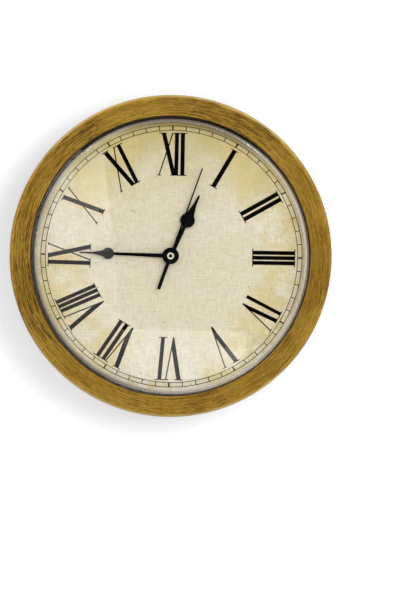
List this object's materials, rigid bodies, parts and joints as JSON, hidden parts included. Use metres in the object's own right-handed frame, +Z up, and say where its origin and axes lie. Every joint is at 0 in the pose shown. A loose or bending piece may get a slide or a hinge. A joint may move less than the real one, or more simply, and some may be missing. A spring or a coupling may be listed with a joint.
{
  "type": "clock diversion safe",
  "caption": "Round wall clock whose hinged front swings open to a hidden shelved compartment.",
  "frame": {"origin": "centre of the box's flat back face, which lies on the wall", "axes": "+Z up, +X to the right as the dial is read, +Y into the wall"},
  "size_m": [0.254, 0.068, 0.254],
  "materials": {
    "black_plastic": "fine moulded satin",
    "gold_finish": "antique gold, brushed round the ring, on moulded plastic",
    "clear_lens": "clear gloss",
    "dial_print": "aged parchment print",
    "hand_black": "satin black",
    "steel": "plain",
    "brass": "turned",
    "white_plastic": "moulded",
    "rubber": "matt",
    "copper": "enamelled wire",
    "board": "solder mask",
    "battery_jacket": "gloss wrap",
    "magnet": "sintered"
  },
  "bodies": {
    "safe_box": {"back_box": "black_plastic", "shelf_upper": "black_plastic", "shelf_lower": "black_plastic", "hinge_pin": "steel"},
    "clock_front": {"bezel": "gold_finish", "lens": "clear_lens", "dial": "dial_print", "rear_panel": "black_plastic", "panel_screw_1": "steel", "panel_screw_2": "steel", "panel_screw_3": "steel", "panel_screw_4": "steel", "movement_case": "black_plastic", "movement_cover": "black_plastic", "train_plate": "white_plastic", "train_bridge": "white_plastic", "rubber_cushion": "rubber", "shaft_bush": "brass", "shaft_nut": "brass", "battery": "battery_jacket", "battery_contact_positive": "steel", "battery_contact_negative": "steel", "circuit_board": "board", "driver_chip": "black_plastic", "quartz_crystal": "steel", "coil_bobbin": "white_plastic", "coil_winding": "copper", "coil_core": "steel", "stator_plate": "steel"},
    "minute_work": {"minute_hand": "hand_black", "cannon_pinion": "brass", "centre_wheel": "white_plastic"},
    "hour_work": {"hour_hand": "hand_black", "hour_wheel": "white_plastic"},
    "second_work": {"second_hand": "hand_black", "second_hand_bush": "brass", "second_wheel": "white_plastic"},
    "third_work": {"third_wheel": "white_plastic"},
    "fifth_work": {"fifth_wheel": "white_plastic"},
    "rotor_work": {"rotor": "magnet"},
    "motion_work": {"motion_wheel": "white_plastic", "setting_knob": "black_plastic"}
  },
  "joints": [
    {"name": "front_hinge", "type": "hinge", "parent": "safe_box", "child": "clock_front", "pos_m": [-0.119, -0.044, 0], "axis": [0, 0, -1], "range_deg": [0, 110]},
    {"name": "minute_hand_turn", "type": "hinge", "parent": "clock_front", "child": "minute_work", "pos_m": [0, -0.052, 0], "axis": [0, 1, 0], "continuous": true},
    {"name": "hour_hand_turn", "type": "hinge", "parent": "clock_front", "child": "hour_work", "pos_m": [0, -0.052, 0], "axis": [0, 1, 0], "continuous": true},
    {"name": "second_hand_turn", "type": "hinge", "parent": "clock_front", "child": "second_work", "pos_m": [0, -0.052, 0], "axis": [0, 1, 0], "continuous": true},
    {"name": "third_wheel_turn", "type": "hinge", "parent": "clock_front", "child": "third_work", "pos_m": [-0.0015, -0.052, 0.00851], "axis": [0, 1, 0], "continuous": true},
    {"name": "fifth_wheel_turn", "type": "hinge", "parent": "clock_front", "child": "fifth_work", "pos_m": [0.00302, -0.052, -0.00829], "axis": [0, 1, 0], "continuous": true},
    {"name": "rotor_turn", "type": "hinge", "parent": "clock_front", "child": "rotor_work", "pos_m": [-0.00049, -0.052, -0.01247], "axis": [0, 1, 0], "continuous": true},
    {"name": "setting_knob_turn", "type": "hinge", "parent": "clock_front", "child": "motion_work", "pos_m": [-0.00927, -0.052, -0.00164], "axis": [0, 1, 0], "continuous": true}
  ],
  "couplings": [
    {"joint": "hour_hand_turn", "follows": "minute_hand_turn", "ratio": 0.083333},
    {"joint": "second_hand_turn", "follows": "minute_hand_turn", "ratio": 60},
    {"joint": "third_wheel_turn", "follows": "minute_hand_turn", "ratio": -8},
    {"joint": "fifth_wheel_turn", "follows": "minute_hand_turn", "ratio": -300},
    {"joint": "rotor_turn", "follows": "minute_hand_turn", "ratio": 1800},
    {"joint": "setting_knob_turn", "follows": "minute_hand_turn", "ratio": -0.33333}
  ]
}
